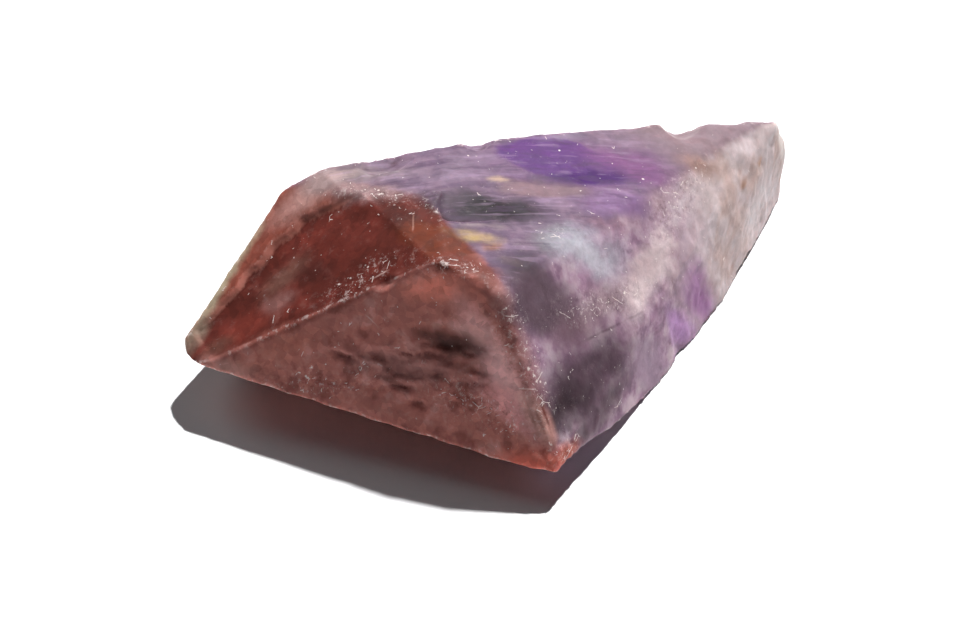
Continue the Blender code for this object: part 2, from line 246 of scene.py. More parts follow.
def applyModifier(piece, name, kind, **settings):
    onlyActive(piece)
    modifier = piece.modifiers.new(name, kind)
    for setting, value in settings.items():
        setattr(modifier, setting, value)
    bpy.ops.object.modifier_apply(modifier=name)


def corner(name):
    return Vector(crystal["corners"][name]) * mm


def faceNormal(first, second, third):
    # away from the heart of the crystal
    direction = (second - first).cross(third - first).normalized()
    return -direction if direction.dot(Vector(crystal["heart"]) * mm - first) > 0 else direction


def facing(side):
    if side in crystal["faces"]:
        return faceNormal(*[corner(name) for name in crystal["faces"][side]])
    return Vector(side).normalized()


def cutBlock():
    # a plain block, bisected once for each flat face
    low, high = Vector(crystal["blockLow"]) * mm, Vector(crystal["blockHigh"]) * mm
    bpy.ops.object.select_all(action="DESELECT")
    bpy.ops.mesh.primitive_cube_add(size=1, location=(low + high) / 2, scale=high - low)
    block = bpy.context.object
    block.name = "crystalBody"
    bpy.ops.object.transform_apply(location=True, rotation=True, scale=True)
    bpy.ops.object.mode_set(mode="EDIT")
    for names in crystal["faces"].values():
        points = [corner(name) for name in names]
        bpy.ops.mesh.select_all(action="SELECT")
        bpy.ops.mesh.bisect(
            plane_co=points[0], plane_no=faceNormal(*points), use_fill=True, clear_outer=True, threshold=1e-6
        )
    bpy.ops.mesh.select_all(action="SELECT")
    bpy.ops.mesh.dissolve_degenerate(threshold=crystal["mergeGap"] * mm)
    bpy.ops.mesh.normals_make_consistent(inside=False)
    bpy.ops.object.mode_set(mode="OBJECT")
    return block


def subtract(piece, cutter):
    applyModifier(piece, cutter.name, "BOOLEAN", operation="DIFFERENCE", solver="EXACT", object=cutter)
    bpy.data.objects.remove(cutter)


def carveHollow(piece, name, side, point, along, halfLengths, depth):
    # a roughly round cutter pressed flat along the face, its lowest point at the depth
    out = facing(side)
    across = out.cross(Vector(along)).normalized()
    turn = Matrix((across.cross(out), across, out)).transposed().to_4x4()
    centre = (Vector(point) + out * (halfLengths[2] - depth)) * mm
    bpy.ops.object.select_all(action="DESELECT")
    bpy.ops.mesh.primitive_ico_sphere_add(subdivisions=3, radius=mm)
    cutter = bpy.context.object
    cutter.name = name
    cutter.matrix_world = Matrix.Translation(centre) @ turn @ Matrix.Diagonal(halfLengths).to_4x4()
    ragged = reliefTexture(name, "CLOUDS", None)
    ragged.noise_scale = crystal["hollowNoise"] * mm
    push = crystal["hollowPush"] * mm
    applyModifier(cutter, "ragged", "DISPLACE", texture=ragged, texture_coords="GLOBAL", strength=push)
    subtract(piece, cutter)


def carveBreak(piece, name, outline, floorPoints, slope):
    # a disc moved onto the break's outline on its floor, and extruded along its slope
    onFloor = [Vector(point) * mm for point in floorPoints]
    bpy.ops.object.select_all(action="DESELECT")
    bpy.ops.mesh.primitive_circle_add(vertices=len(outline), radius=mm, fill_type="NGON")
    cutter = bpy.context.object
    cutter.name = name
    for vertex, (x, y) in zip(cutter.data.vertices, outline):
        foot = Vector((x, y, 0)) * mm
        vertex.co = intersect_line_plane(foot, foot + Vector((0, 0, 1)), onFloor[0], faceNormal(*onFloor))
    bpy.ops.object.mode_set(mode="EDIT")
    bpy.ops.mesh.select_all(action="SELECT")
    bpy.ops.mesh.extrude_region_move(TRANSFORM_OT_translate={"value": Vector(slope) * mm})
    bpy.ops.mesh.select_all(action="SELECT")
    bpy.ops.mesh.normals_make_consistent(inside=False)
    bpy.ops.object.mode_set(mode="OBJECT")
    subtract(piece, cutter)


def placesOf(piece):
    places = np.zeros(len(piece.data.vertices) * 3)
    piece.data.vertices.foreach_get("co", places)
    return places.reshape(-1, 3) / mm


def normalsOf(piece):
    normals = np.zeros(len(piece.data.vertices) * 3)
    piece.data.vertex_normals.foreach_get("vector", normals)
    return normals.reshape(-1, 3)


def paint(piece, name, weights):
    group = piece.vertex_groups.new(name=name)
    for index in np.flatnonzero(weights > crystal["leastWeight"]):
        group.add([int(index)], float(weights[index]), "REPLACE")


def nearLine(places, start, end):
    # the distance in millimetres of each place from a straight line between two points
    start, end = np.array(start), np.array(end)
    span = end - start
    along = np.clip((places - start) @ span / (span @ span), 0, 1)
    return np.linalg.norm(places - start - along[:, None] * span, axis=1)


def belowFaces(places):
    # how far each place lies below each flat face, nearest first
    below = [places[:, 2]]
    for side, names in crystal["faces"].items():
        below.append((np.array(crystal["corners"][names[0]]) - places) @ np.array(facing(side)))
    return np.sort(np.array(below), axis=0)


def smoothRamp(values, start, end):
    ratio = np.clip((values - start) / (end - start), 0, 1)
    return ratio * ratio * (3 - 2 * ratio)


def paintGroups(piece):
    # where each kind of relief goes: never on the seat, most of it towards the tail
    places = placesOf(piece)
    tail = np.clip((places[:, 0] - crystal["brokenStart"]) / crystal["brokenStretch"], 0, 1)
    under = places[:, 2] < crystal["undersideHeight"]
    broken = crystal["brokenTip"] + crystal["brokenTail"] * np.maximum(tail, under)
    away = np.linalg.norm(places - np.array(crystal["seat"]), axis=1) - crystal["seatRadius"]
    free = np.where(places[:, 2] < crystal["seatHeight"], np.clip(away / crystal["seatBand"], 0, 1), 1)
    edges = smoothRamp(belowFaces(places)[1], *crystal["edgeBand"])
    edges = edges * (places[:, 2] > crystal["edgeLift"]) * (places[:, 0] > crystal["edgeStart"])
    chips = crystal["chipBase"] + crystal["chipTail"] * tail + crystal["chipEdge"] * edges
    paint(piece, "broken", broken * free)
    paint(piece, "grainy", (crystal["grainBase"] + broken) / (1 + crystal["grainBase"]) * free)
    paint(piece, "chipped", np.clip(chips, 0, 1) * free)
    for name, (start, end, inner, outer) in crystal["zones"].items():
        paint(piece, name, smoothRamp(nearLine(places, start, end), outer, inner) * free)


def addGuide(along, out, sizes):
    # an empty whose turn and scale stretch a texture along a direction
    along, out = Vector(along).normalized(), Vector(out)
    across = out.cross(along).normalized()
    turn = Matrix((along, across, along.cross(across))).transposed().to_4x4()
    bpy.ops.object.empty_add()
    guide = bpy.context.object
    guide.matrix_world = turn @ Matrix.Diagonal(Vector(sizes) * mm).to_4x4()
    return guide


def reliefTexture(name, kind, steps):
    made = bpy.data.textures.new(name, kind)
    made.noise_scale = 1
    if kind == "VORONOI":
        # cells with sharp edges between them, from the nearest and the next nearest point
        made.weight_1, made.weight_2, made.noise_intensity = -1, 2, 2
    else:
        made.noise_depth = 4
    if steps:
        # the noise is turned into flat treads with steep risers between them
        made.use_color_ramp = True
        made.color_ramp.elements[0].position = 0
        made.color_ramp.elements[1].position = 1
        for position, level in steps:
            tread = made.color_ramp.elements.new(position)
            tread.color = (level, level, level, 1)
    return made


def roughen(piece):
    paintGroups(piece)
    for name, (kind, along, out, sizes, group, depth, middle, steps) in crystal["relief"].items():
        bpy.ops.object.select_all(action="DESELECT")
        guide = addGuide(along, out, sizes)
        made = reliefTexture(name, kind, steps)
        applyModifier(
            piece,
            name,
            "DISPLACE",
            texture=made,
            texture_coords="OBJECT",
            texture_coords_object=guide,
            vertex_group=group,
            strength=-depth * mm,
            mid_level=middle,
        )
        bpy.data.objects.remove(guide)


def flattenBase(piece):
    for vertex in piece.data.vertices:
        if vertex.co.z < crystal["ground"] * mm:
            vertex.co.z = 0


def crests(piece, passes):
    # how far each vertex stands out from its smoothed neighbours: above 0 on rims, below 0 in cracks
    mesh = piece.data
    ends = np.zeros(len(mesh.edges) * 2, dtype=int)
    mesh.edges.foreach_get("vertices", ends)
    ends = ends.reshape(-1, 2)
    starts, others = np.concatenate((ends[:, 0], ends[:, 1])), np.concatenate((ends[:, 1], ends[:, 0]))
    count = np.bincount(starts, minlength=len(mesh.vertices))
    places = placesOf(piece)
    smoothed = places.copy()
    for _ in range(passes):
        sums = [np.bincount(starts, smoothed[others, axis], minlength=len(count)) for axis in range(3)]
        smoothed = np.array(sums).T / count[:, None]
    return ((places - smoothed) * normalsOf(piece)).sum(1)


def keepAttribute(piece, name, values):
    piece.data.attributes.new(name, "FLOAT", "POINT").data.foreach_set("value", values)


def ledgeSide(places):
    # how far each place lies outside the ledge's line, along Y
    ledge = np.array(crystal["breaks"]["ledge"][0][: crystal["ledgePoints"]])
    return places[:, 1] - np.interp(places[:, 0], ledge[:, 0], ledge[:, 1])


def markSurface(piece):
    # what the material reads from the finished surface: its rims and cracks, and the side of the ledge
    keepAttribute(piece, "rim", crests(piece, crystal["rimPasses"]))
    keepAttribute(piece, "ledgeSide", ledgeSide(placesOf(piece)))


def markSides(piece):
    # how far the surface looks up or back, and the ledge's riser, which is turned away from its face
    places, normals = placesOf(piece), normalsOf(piece)
    keepAttribute(piece, "upward", np.maximum(normals[:, 2], crystal["backShare"] * normals[:, 1]))
    onRiser = smoothRamp(normals @ np.array(facing("upper tip face")), *crystal["riserTurn"])
    near = smoothRamp(np.abs(ledgeSide(places)), *crystal["riserBand"]) * (places[:, 0] < crystal["riserEnd"])
    keepAttribute(piece, "riser", onRiser * near * (places[:, 2] > crystal["riserFoot"]))


def intoPlace(piece):
    # from the crystal's own millimetres to the frame: the middle of its box onto the middle of the CAD's
    low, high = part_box("crystal")
    places = placesOf(piece) * mm
    middle = Vector((places.min(0) + places.max(0)) / 2)
    shift = (low + high) / 2 - middle
    shift.z = low.z - places[:, 2].min()
    onlyActive(piece)
    piece.location = shift
    bpy.ops.object.transform_apply(location=True, rotation=True, scale=True)
    return shift


def makeCrystal():
    piece = cutBlock()
    print("block cut:", len(piece.data.polygons), "faces")
    for name, layer in crystal["breaks"].items():
        carveBreak(piece, name, *layer)
    for name, hollow in crystal["hollows"].items():
        carveHollow(piece, name, *hollow)
    print("hollows carved:", len(piece.data.polygons), "faces")
    factor = crystal["smoothFactor"]
    applyModifier(piece, "fine grid", "REMESH", mode="VOXEL", voxel_size=crystal["grid"] * mm)
    applyModifier(piece, "soft edges", "SMOOTH", factor=factor, iterations=crystal["smoothing"])
    for name, (start, end, inner, outer, passes) in crystal["roundings"].items():
        paint(piece, name, smoothRamp(nearLine(placesOf(piece), start, end), outer, inner))
        applyModifier(piece, name + " round", "SMOOTH", factor=factor, iterations=passes, vertex_group=name)
    markSides(piece)
    roughen(piece)
    flattenBase(piece)
    markSurface(piece)
    print("crystal surface:", len(piece.data.polygons) * 2, "triangles")
    shift = intoPlace(piece)
    bpy.ops.object.shade_smooth()
    return piece, shift


crystalPiece, crystalShift = makeCrystal()
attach(crystalPiece, "root")
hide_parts("crystal")
print("crystal placed at", [round(value / mm, 3) for value in crystalShift])

quartzLook = {
    # colours are screen values, 0 to 255
    "capColour": (98, 41, 34),
    "raisedColour": (138, 73, 60),
    # the ledge's riser, painted paler as painted light where its slope faces the key light
    "riserHighlight": (176, 112, 99),
    "riserHighlightShare": 0.65,
    "lowerCapColour": (173, 109, 100),
    "bodyColour": (156, 121, 144),
    # the top's colour: its own violet, darkened as painted shade where the surface looks up into the key
    # light
    "topShadedColour": (104, 84, 104),
    "tailColour": (195, 177, 177),
    # the tail top's colour: its own mauve, darkened as painted shade where the tail looks up into the key
    # light
    "tailTopShade": (110, 87, 97),
    "tailTopShare": 0.85,
    "white": (228, 214, 210),
    # tints over them: colour, where in its noise it starts, where it is full, strength
    "tints": {
        "cap dark": ((82, 32, 25), 0.52, 0.42, 0.8),
        "cap red": ((118, 46, 36), 0.5, 0.62, 0.4),
        "cap haze": ((116, 72, 66), 0.58, 0.74, 0.5),
        "lower dark": ((122, 66, 60), 0.5, 0.4, 0.6),
        "lower haze": ((194, 144, 138), 0.54, 0.7, 0.5),
        "body pale": ((180, 158, 168), 0.45, 0.62, 1),
        "body dark": ((110, 84, 106), 0.5, 0.34, 0.5),
        "top pale": ((120, 98, 116), 0.44, 0.6, 1),
        "tail warm": ((174, 140, 126), 0.48, 0.6, 0.5),
        "tail pale": ((216, 202, 206), 0.42, 0.66, 0.4),
        "pale streak": ((166, 140, 166), 0.52, 0.66, 0.25),
        "dark streak": ((76, 54, 80), 0.48, 0.36, 0.4),
        "veil": ((228, 214, 210), 0.55, 0.75, 0.06),
        "pale chip": ((228, 214, 210), 0.54, 0.66, 0.4),
        # painted shade of small chips, where the flaws crowd
        "chip shade": ((120, 84, 84), 0.46, 0.36, 0.4),
        # painted shade in cracks and creases, where the surface lies below its smoothed neighbours
        "crack": ((150, 110, 110), -0.04, -0.16, 0.7),
    },
    # where the cap ends: along the crystal, and past a line across it (direction and distance)
    "capEnd": 24.4,
    "capSide": (0.826, 0.565, 0),
    "capSideEnd": 16.85,
    "capBlur": 0.7,
    # the upper tip face's colour gives way to the lower one's across the ridge, from here to here
    "ridgeBlur": (-0.25, 0.05),
    # the raised colour past the ledge: how far a noise frays its line, where it starts and is full,
    # strength, and how deep under its face it starts and is full
    "ledgeFray": 0.8,
    "ledgeBlur": (0, 0.5, 0.9),
    "ledgeDepth": (2.4, 0.96),
    # what looks up takes the colours of the top, darkened as painted shade where the key light falls
    # strongest, and how far a noise frays their border
    "topTurn": (0.5, 0.92),
    "topFray": 0.3,
    # the streaks of the top begin where it looks up this much, and end towards the cap and the tail
    "streakTurn": (0.84, 0.94),
    "streakCapEnd": (0.5, 0.1),
    "streakTailEnd": (1, 0.2),
    "tailStart": (43, 58),
    # streaks: a point they run through, their direction, and their sizes along, across and deep
    "tailStreaks": ((60, -8, 8), (0.66, 0.58, 0.45), (8.0, 2.2, 2.2)),
    "topStreaks": ((40, -6, 18), (0.95, -0.3, -0.1), (7.0, 0.9, 0.9)),
    # noises: size, detail, roughness, distortion
    "broadNoise": (6.0, 3, 0.5, 0.3),
    "mediumNoise": (2.0, 3, 0.55, 0.2),
    "fineNoise": (0.6, 5, 0.7),
    "finestNoise": (0.25, 3, 0.6),
    "streakNoise": (1, 3, 0.5, 0.3),
    "veilNoise": (1.6, 5, 0.7),
    "chipNoise": (0.6, 4, 0.75),
    "dashNoise": (0.7, 4, 0.7),
    "broadPushNoise": (5.0, 3, 0.6),
    "finePushNoise": (1.3, 4, 0.65),
    # clouds are the medium noise by this share and the broad one by the rest
    "cloudShare": 0.6,
    # how far the broad and the fine push fray the tail's border, the cap's border and the lines
    "tailPush": (5.0, 1.8),
    "capPush": (1.2, 1.0),
    "linePush": 0.3,
    # mottling: darkest and palest, and where it turns from one to the other in the medium and fine noise
    "mottling": (0.95, 1.05),
    "mediumMottling": (0.34, 0.66),
    "fineMottling": (0.3, 0.7),
    # angular grains of slightly different tone: their size, and how far the tones differ
    "grainSize": 0.75,
    "capGrains": 0.3,
    "bodyGrains": 0.12,
    # sizes and strengths of the noises that push the patches about, those of more than this radius more,
    # and the seed of those noises, which gives the same result each run
    "broadPush": ((5.0, 1.3), (1.3, 0.4)),
    "narrowPush": ((5.0, 0.4), (1.3, 0.3)),
    "broadRadius": 2,
    "pushSeed": 1,
    # how much a fine noise frays the patches' rims, and how soft the lines and the crowds of flaws are
    "patchFray": 2,
    "lineSoftness": 0.8,
    "crowdSoftness": 0.9,
    "roughness": (0.5, 0.74),
    "flawGloss": 0.12,
    # bump heights in millimetres
    "bumps": {"medium": 0.08, "fine": 0.025, "finest": 0.006, "flawsAndGlints": 0.02, "tail streaks": 0.04},
    "bumpStrength": (0.2, 1),
    "ior": 1.54,
    "specular": 0.14,
    "subsurface": 0.5,
    "subsurfaceRadius": (1.0, 0.6, 0.55),
    "subsurfaceScale": 0.001,
    # patches of colour: from a point to a point, radius, softness of the rim, colour, strength
    "patches": {
        "red glow": ((4.2, -2.4, 8.8), (6.6, -3.0, 10.4), 1.7, 0.8, (124, 52, 42), 0.75),
        "red middle": ((14.0, -3.4, 16.0), (16.4, -6.4, 17.8), 2.0, 0.8, (110, 46, 38), 0.6),
        "red right": ((18.4, -8.6, 19.2), (20.4, -6.6, 20.6), 1.5, 0.7, (96, 42, 34), 0.7),
        "grey haze": ((8.8, -1.4, 12.2), (12.0, -2.2, 14.6), 1.5, 0.9, (112, 78, 68), 0.75),
        "milky pink": ((7.8, -2.8, 11.4), (9.4, -4.2, 12.6), 1.1, 0.9, (138, 94, 89), 0.85),
        "dark heart": ((11.4, -3.4, 14.2), (13.4, -5.4, 15.4), 1.4, 0.8, (64, 26, 22), 0.7),
        "cap top haze": ((17.6, 1.6, 19.2), (22.8, -4.4, 20.6), 1.6, 0.7, (140, 114, 116), 0.92),
        "raised top": ((13.0, 4.6, 16.0), (18.4, 2.6, 19.2), 2.0, 0.9, (175, 136, 130), 0.85),
        "pale top": ((17.8, 3.6, 19.4), (24.4, 0.4, 19.9), 2.6, 0.6, (126, 111, 113), 0.95),
        "pink top": ((16.4, 4.4, 18.4), (19.8, 2.6, 19.6), 1.4, 0.9, (186, 158, 156), 0.8),
        # painted glow: light through the thin, translucent left edge, drawn as a pale greenish rim
        "left rim": ((0.6, 1.6, 5.6), (13.0, 6.6, 15.4), 1.1, 0.8, (170, 158, 134), 0.9),
        "left rim foot": ((0.8, 0.8, 5.6), (3.0, 1.8, 7.6), 1.3, 0.8, (140, 120, 106), 0.7),
        "tip grey": ((1.2, -2.4, 6.2), (4.0, -5.8, 6.4), 1.3, 0.9, (184, 140, 132), 0.8),
        "tip dusk": ((1.8, -1.4, 7.0), (3.8, -2.4, 8.2), 1.1, 0.8, (104, 68, 58), 0.7),
        "cap facet dark": ((20.8, -3.8, 20.5), (20.9, -12.6, 20.4), 1.8, 0.5, (72, 27, 21), 0.95),
        "ember facet": ((21.0, -11.0, 20.3), (22.0, -15.0, 20.4), 2.5, 0.4, (97, 42, 24), 0.97),
        "ember front": ((17.0, -15.4, 17.6), (21.4, -18.4, 18.8), 1.6, 0.7, (222, 134, 118), 0.92),
        "ember side": ((21.2, -17.8, 18.8), (23.2, -20.8, 17.6), 1.2, 0.8, (180, 112, 102), 0.88),
        # the cap's own dark red carried over the rounded ridge end, darker there as painted shade against the
        # key light that the rounding catches
        "ridge end shade": ((20.8, -15.6, 20.4), (25.2, -20.4, 20.3), 1.7, 0.6, (104, 42, 30), 0.93),
        "ridge end grey": ((23.9, -21.2, 19.2), (23.8, -23.8, 17.0), 1.5, 0.9, (158, 114, 113), 0.9),
        "ridge end dusk": ((22.4, -18.8, 20.3), (24.4, -22.0, 19.4), 1.1, 0.8, (108, 66, 60), 0.9),
        # along the tip's ridge: painted shade, a colour between its two faces' that damps the light its
        # rounded edge catches
        "ridge shade": ((0.3, -1.7, 5.9), (19.8, -15.5, 20.4), 0.6, 0.9, (132, 74, 66), 0.8),
        "lower red": ((4.6, -6.0, 8.0), (9.0, -9.0, 10.8), 1.8, 0.9, (178, 108, 94), 0.7),
        "lower dusk": ((12.4, -13.6, 9.8), (19.6, -21.6, 10.6), 2.0, 0.8, (150, 105, 101), 0.7),
        "lower pale": ((21.0, -20.6, 15.8), (22.8, -27.2, 9.6), 2.0, 0.8, (238, 184, 184), 0.9),
        "lower pink right": ((20.4, -24.8, 10.2), (23.0, -29.4, 7.8), 1.9, 0.8, (222, 156, 156), 0.85),
        # painted highlight along the lip over the recess
        "lip": ((18.6, -18.6, 15.2), (23.4, -23.2, 14.1), 0.8, 0.6, (204, 152, 148), 0.9),
        # painted shade in the recess under the lip
        "recess": ((17.2, -17.6, 13.4), (21.4, -22.6, 13.2), 1.5, 0.6, (60, 24, 20), 0.94),
        # painted shade in the small pits
        "dark pits": ((13.4, -16.4, 8.8), (15.6, -18.8, 8.4), 0.6, 0.8, (76, 34, 32), 0.7),
        "scoop": ((25.8, -8.4, 20.4), (34.2, -11.4, 19.3), 2.5, 0.7, (22, 15, 19), 0.96),
        "scoop end": ((24.4, -6.2, 20.6), (27.0, -7.6, 20.5), 1.4, 0.9, (84, 68, 80), 0.8),
        "smoke top": ((29.6, -16.6, 19.8), (34.8, -16.0, 19.0), 2.3, 0.6, (34, 26, 30), 0.95),
        "seam": ((24.8, -21.8, 19.0), (24.9, -29.8, 7.0), 1.3, 0.8, (150, 106, 108), 0.75),
        "smoke edge": ((27.4, -18.6, 20.0), (29.6, -20.4, 18.2), 2.8, 0.7, (62, 50, 56), 0.9),
        "smoke front": ((26.4, -22.4, 18.6), (30.0, -22.0, 14.0), 3.4, 0.5, (91, 71, 81), 0.97),
        "ochre haze": ((26.6, -16.6, 20.3), (27.8, -18.4, 20.0), 1.1, 0.9, (116, 94, 82), 0.8),
        "yellow ledge": ((24.3, -12.8, 20.9), (28.2, -14.9, 20.2), 1.3, 0.6, (174, 146, 88), 0.96),
        "ochre": ((25.6, -15.0, 20.5), (28.0, -15.8, 20.1), 1.1, 0.7, (150, 94, 20), 0.95),
        "ledge pale": ((25.0, -11.5, 20.8), (33.6, -14.4, 19.6), 0.9, 0.7, (168, 152, 146), 0.85),
        "milk": ((33.4, -16.4, 18.2), (39.6, -17.4, 13.8), 2.4, 1.0, (186, 185, 193), 0.85),
        "pink middle": ((33.6, -21.0, 12.2), (39.6, -18.8, 11.0), 2.4, 0.9, (142, 117, 124), 0.85),
        "pale middle": ((40.8, -19.4, 9.0), (47.4, -15.2, 12.0), 2.3, 0.9, (226, 208, 206), 0.85),
        "dusky pink": ((29.6, -23.4, 12.2), (33.4, -22.0, 11.6), 2.0, 0.9, (112, 84, 94), 0.8),
        "dark front": ((26.6, -28.6, 8.6), (36.2, -23.8, 7.4), 4.2, 0.6, (74, 54, 64), 0.95),
        "dark front low": ((25.2, -29.8, 8.4), (30.0, -27.6, 7.6), 2.2, 0.8, (44, 26, 33), 0.93),
        "dark front end": ((27.0, -29.2, 4.0), (37.8, -23.6, 4.0), 1.8, 0.8, (84, 60, 70), 0.85),
        # the milky colour of the rounded body edge, darker there as painted shade against the key light that
        # the rounding catches
        "milky edge shade": ((41.4, -18.2, 10.8), (46.0, -16.0, 11.4), 1.9, 0.9, (184, 160, 164), 0.85),
        "lilac low": ((44.6, -15.2, 14.6), (48.8, -13.2, 14.4), 1.6, 0.9, (142, 110, 134), 0.8),
        "lilac stripes": ((40.6, -22.2, 4.4), (42.6, -21.8, 0.8), 2.4, 0.6, (158, 133, 151), 0.9),
        "mauve": ((27.6, -3.8, 20.2), (34.8, -3.0, 19.4), 3.0, 0.8, (118, 100, 116), 0.85),
        "violet wash": ((37.0, -5.0, 19.0), (49.0, -8.0, 16.4), 5.2, 0.8, (112, 80, 116), 0.75),
        "beige facet": ((33.4, -7.4, 19.2), (40.4, -9.2, 18.0), 1.8, 0.3, (124, 99, 106), 0.95),
        "deep violet": ((38.4, -2.2, 18.8), (44.8, -6.4, 17.3), 3.3, 0.12, (88, 52, 107), 0.97),
        "violet corner": ((36.6, -2.6, 18.8), (41.4, -6.8, 18.2), 1.6, 0.2, (88, 54, 108), 0.9),
        "violet tongue": ((38.6, -7.2, 18.4), (49.4, -9.0, 16.3), 1.5, 0.5, (62, 26, 88), 0.9),
        "magenta": ((46.2, -5.4, 17.0), (51.6, -9.0, 15.8), 2.6, 0.7, (114, 72, 112), 0.9),
        "edge shade": ((42.6, -15.4, 16.0), (52.4, -11.2, 14.6), 1.7, 0.9, (172, 146, 151), 0.85),
        "lilac": ((40.6, -12.4, 17.4), (47.0, -12.8, 15.8), 2.3, 0.6, (124, 94, 130), 0.92),
        "pink ridge": ((36.0, -13.4, 19.0), (43.0, -15.6, 15.6), 0.9, 0.9, (134, 100, 112), 0.7),
        "cream fleck": ((32.4, -5.8, 19.6), (35.2, -6.4, 19.5), 0.5, 0.6, (196, 166, 140), 0.9),
        "back violet": ((42.0, -1.0, 18.0), (46.0, -1.2, 17.2), 0.8, 0.9, (130, 114, 134), 0.8),
        "low violet": ((51.2, -16.0, 5.6), (53.2, -15.4, 1.0), 2.5, 0.7, (152, 98, 150), 0.85),
        "side violet": ((47.0, -19.2, 4.6), (49.0, -18.2, 0.4), 2.2, 0.7, (188, 142, 192), 0.9),
        "seam low": ((24.4, -28.4, 9.6), (24.8, -31.0, 5.6), 0.9, 0.8, (176, 118, 110), 0.8),
        "corner ember": ((24.6, -31.6, 4.6), (28.6, -30.0, 3.6), 1.4, 0.6, (186, 96, 76), 0.92),
        "corner glow": ((19.0, -28.2, 4.0), (23.6, -31.2, 4.6), 1.6, 0.9, (208, 104, 86), 0.9),
        "brown spot": ((65.6, -5.8, 9.2), (66.8, -5.4, 9.4), 0.5, 0.9, (170, 128, 100), 0.8),
        "brown spot low": ((61.8, -8.0, 9.2), (63.0, -7.6, 9.5), 0.6, 0.9, (170, 124, 96), 0.8),
        "tail low": ((63.0, -8.6, 4.0), (69.0, -4.6, 3.6), 3.0, 1.0, (222, 208, 208), 0.7),
        "warm patch": ((55.4, -7.6, 14.6), (58.0, -9.0, 12.8), 1.4, 0.9, (146, 114, 104), 0.8),
        # painted glow: light through the thin tail end, drawn as a pale rim
        "tail rim": ((71.0, -2.6, 10.4), (74.4, -0.8, 3.0), 1.0, 0.8, (222, 212, 206), 0.8),
    },
    # fine pale or dark lines: from a point to a point, width, colour, strength
    "lines": {
        "ember line": ((22.8, -6.6, 20.4), (18.7, -13.8, 19.6), 0.12, (196, 150, 136), 0.35),
        "front crease": ((26.6, -25.5, 12.1), (41.5, -20.1, 8.4), 0.2, (78, 56, 66), 0.7),
        "face crack": ((13.3, -11.0, 15.0), (14.5, -13.8, 13.4), 0.1, (210, 180, 172), 0.8),
        # the three grooves: painted shade in them, and painted light on the ridges between them
        "grooves light": ((23.3, -27.3, 9.6), (24.3, -29.8, 6.7), 1.2, (212, 164, 154), 0.6),
        "left groove": ((23.4, -27.0, 9.6), (23.6, -29.2, 6.6), 0.26, (96, 36, 30), 0.85),
        "middle groove": ((23.9, -27.3, 9.6), (24.1, -29.5, 6.8), 0.26, (96, 36, 30), 0.85),
        "right groove": ((24.5, -27.8, 9.4), (24.7, -29.7, 7.1), 0.22, (96, 36, 30), 0.85),
        # painted glow: light through the knife-thin lower edge from the tip to the front shoulder
        "lower rim glow": ((1.0, -2.7, 5.8), (23.2, -31.7, 3.4), 0.22, (196, 150, 142), 0.5),
        "chip loop": ((15.3, -11.2, 17.1), (16.7, -12.0, 18.0), 0.14, (210, 178, 170), 0.7),
        "chip foot": ((14.9, -12.0, 16.7), (17.3, -13.7, 18.3), 0.15, (226, 204, 198), 0.8),
    },
    # edges worn to white dashes: from corner to corner, width, strength
    "chippedEdges": (
        ("ridge start", "ridge bend", 0.3, 0.7),
        ("ridge bend", "ridge end", 0.5, 1.0),
        ("cap top", "ledge left", 0.35, 0.8),
        ("ledge left", "ledge right", 0.4, 0.8),
        ("ridge start", "front shoulder", 0.3, 0.5),
    ),
    # dashes along worn edges: where in their noise they start and are full; rims, likewise, and strength
    "dashes": (0.51, 0.6),
    "wornRims": (0.05, 0.16, 0.6),
    # where the pale flaws crowd: from a point to a point, radius; and a thin crowd by the broad noise
    "thinCrowd": (0.5, 0.66, 0.15),
    "flawZones": (
        ((13.0, -8.0, 15.2), (18.0, -12.2, 18.6), 1.5),
        ((19.0, -15.0, 20.0), (23.4, -19.4, 20.2), 1.5),
        ((24.6, -20.4, 20.0), (24.6, -30.0, 6.6), 2.0),
        ((27.0, -15.6, 20.4), (36.0, -15.4, 19.0), 1.6),
        ((30.0, -22.6, 14.0), (44.0, -18.0, 9.6), 1.6),
        ((46.6, -14.6, 14.0), (56.0, -9.6, 13.0), 2.4),
        ((18.0, 0.6, 19.2), (24.4, -8.0, 20.6), 1.2),
        ((6.0, -8.4, 5.6), (14.0, -15.6, 8.0), 1.6),
        ((18.0, -22.0, 8.6), (21.6, -27.0, 8.0), 2.2),
        ((24.4, -30.4, 6.0), (28.0, -30.0, 3.6), 1.6),
    ),
    # splinters: direction, length, width, share of them that show; smallest and largest reach, full core
    "splinters": (
        ((0.6, -0.6, 0.5), 1.3, 0.13, 0.1),
        ((0.3, 0.5, 0.8), 1.0, 0.12, 0.1),
    ),
    "splinterReach": (0.15, 0.5),
    "splinterCore": 0.1,
    # hairlines: size of the cells whose edges they follow, width, from this noise on
    "hairlines": (
        (3.2, 0.05, 0.67),
        (1.1, 0.05, 0.68),
    ),
    # crowds add this to the noise; its size in cells, detail and roughness; and its blur
    "hairlineCrowd": 0.15,
    "hairlineNoise": (0.6, 2, 0.6),
    "hairlineBlur": 0.05,
    # specks: size of their cells, share of them that show, and blur in the cell
    "speckSize": 0.55,
    "specks": 0.12,
    "speckBlur": (0.3, 0.15),
    # single bright sparkles: painted glints
    "sparkles": (
        (22.3, -18.2, 20.4), (20.9, -16.8, 20.4), (42.4, -3.0, 18.2), (41.9, -11.0, 17.4),
        (19.3, -15.4, 20.2), (24.8, -24.0, 16.4), (24.9, -26.6, 12.8), (49.9, -12.8, 13.6),
        (20.0, -4.2, 20.4), (48.4, -9.4, 15.8), (50.8, -13.4, 12.4),
    ),
    "sparkleBlur": (0.22, 0.088),
}


def linear(colour):
    # a colour as it is picked on the screen, 0 to 255, made linear
    return tuple(((value / 255 + 0.055) / 1.055) ** 2.4 for value in colour) + (1,)


